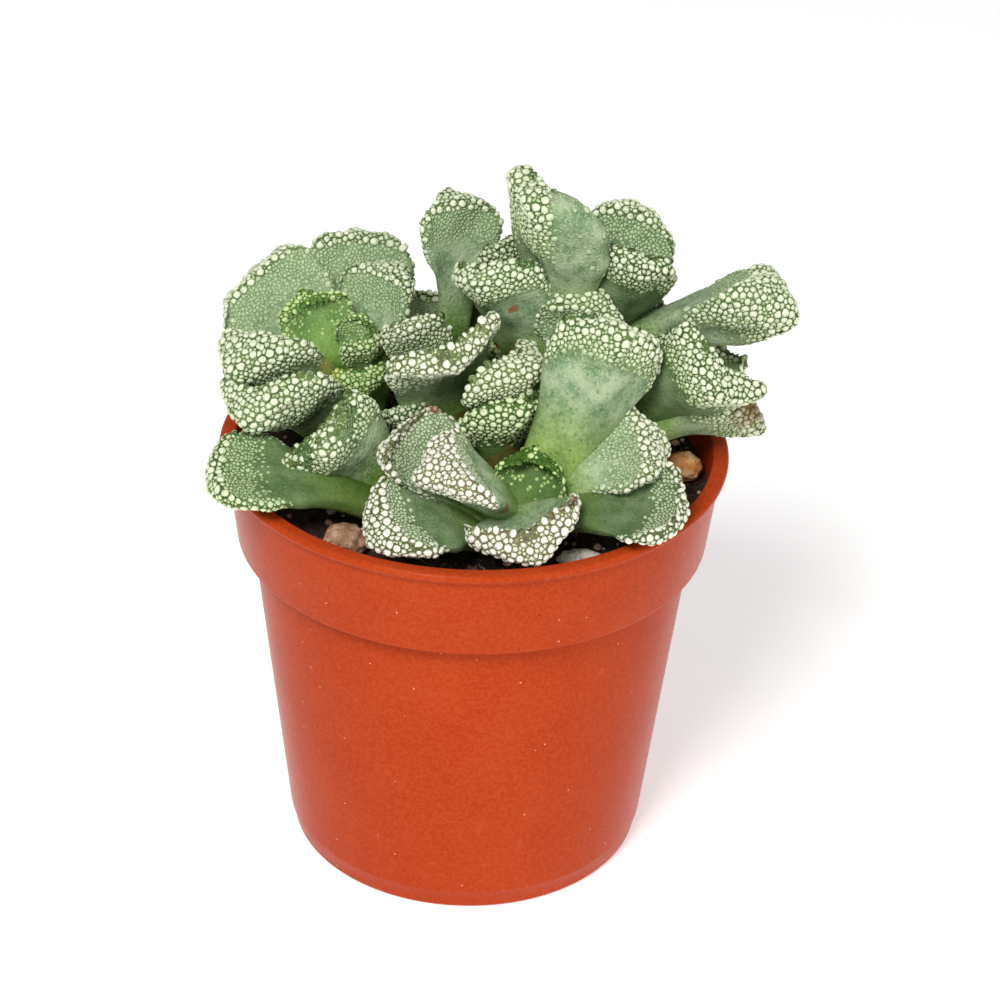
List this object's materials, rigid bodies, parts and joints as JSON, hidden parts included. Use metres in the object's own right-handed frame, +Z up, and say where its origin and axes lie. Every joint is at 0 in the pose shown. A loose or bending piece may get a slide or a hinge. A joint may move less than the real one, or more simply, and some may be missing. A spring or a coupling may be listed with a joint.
{
  "type": "potted titanopsis",
  "caption": "Clump-forming stone plant with thick warty-tipped leaves on short stems, in soil in a small round tapered plastic nursery pot.",
  "frame": {"origin": "centre of the pot's flat base, on the surface it stands on", "axes": "+Z up along the pot's axis; -Y is the side the picture looks at; +X to the right in the picture"},
  "size_m": [0.0735, 0.065, 0.0938],
  "materials": {
    "pot_plastic": "terracotta-coloured injection-moulded plastic, semi-gloss, with fine dust and faint scuffs",
    "soil": "matte dark peat soil with pale mineral grit",
    "stone": "matte worn pebbles, brown, ochre and grey-white",
    "leaf": "waxy grey-green leaf skin with cream-white raised warts at the tips"
  },
  "bodies": {
    "root": {"pot": "pot_plastic", "soil": "soil", "stone_brown": "stone", "stone_ochre": "stone", "stone_grey": "stone", "head_left": "leaf", "head_near": "leaf", "head_front": "leaf", "head_small": "leaf", "head_middle": "leaf", "head_tall": "leaf", "head_side": "leaf", "head_back": "leaf"}
  },
  "joints": []
}
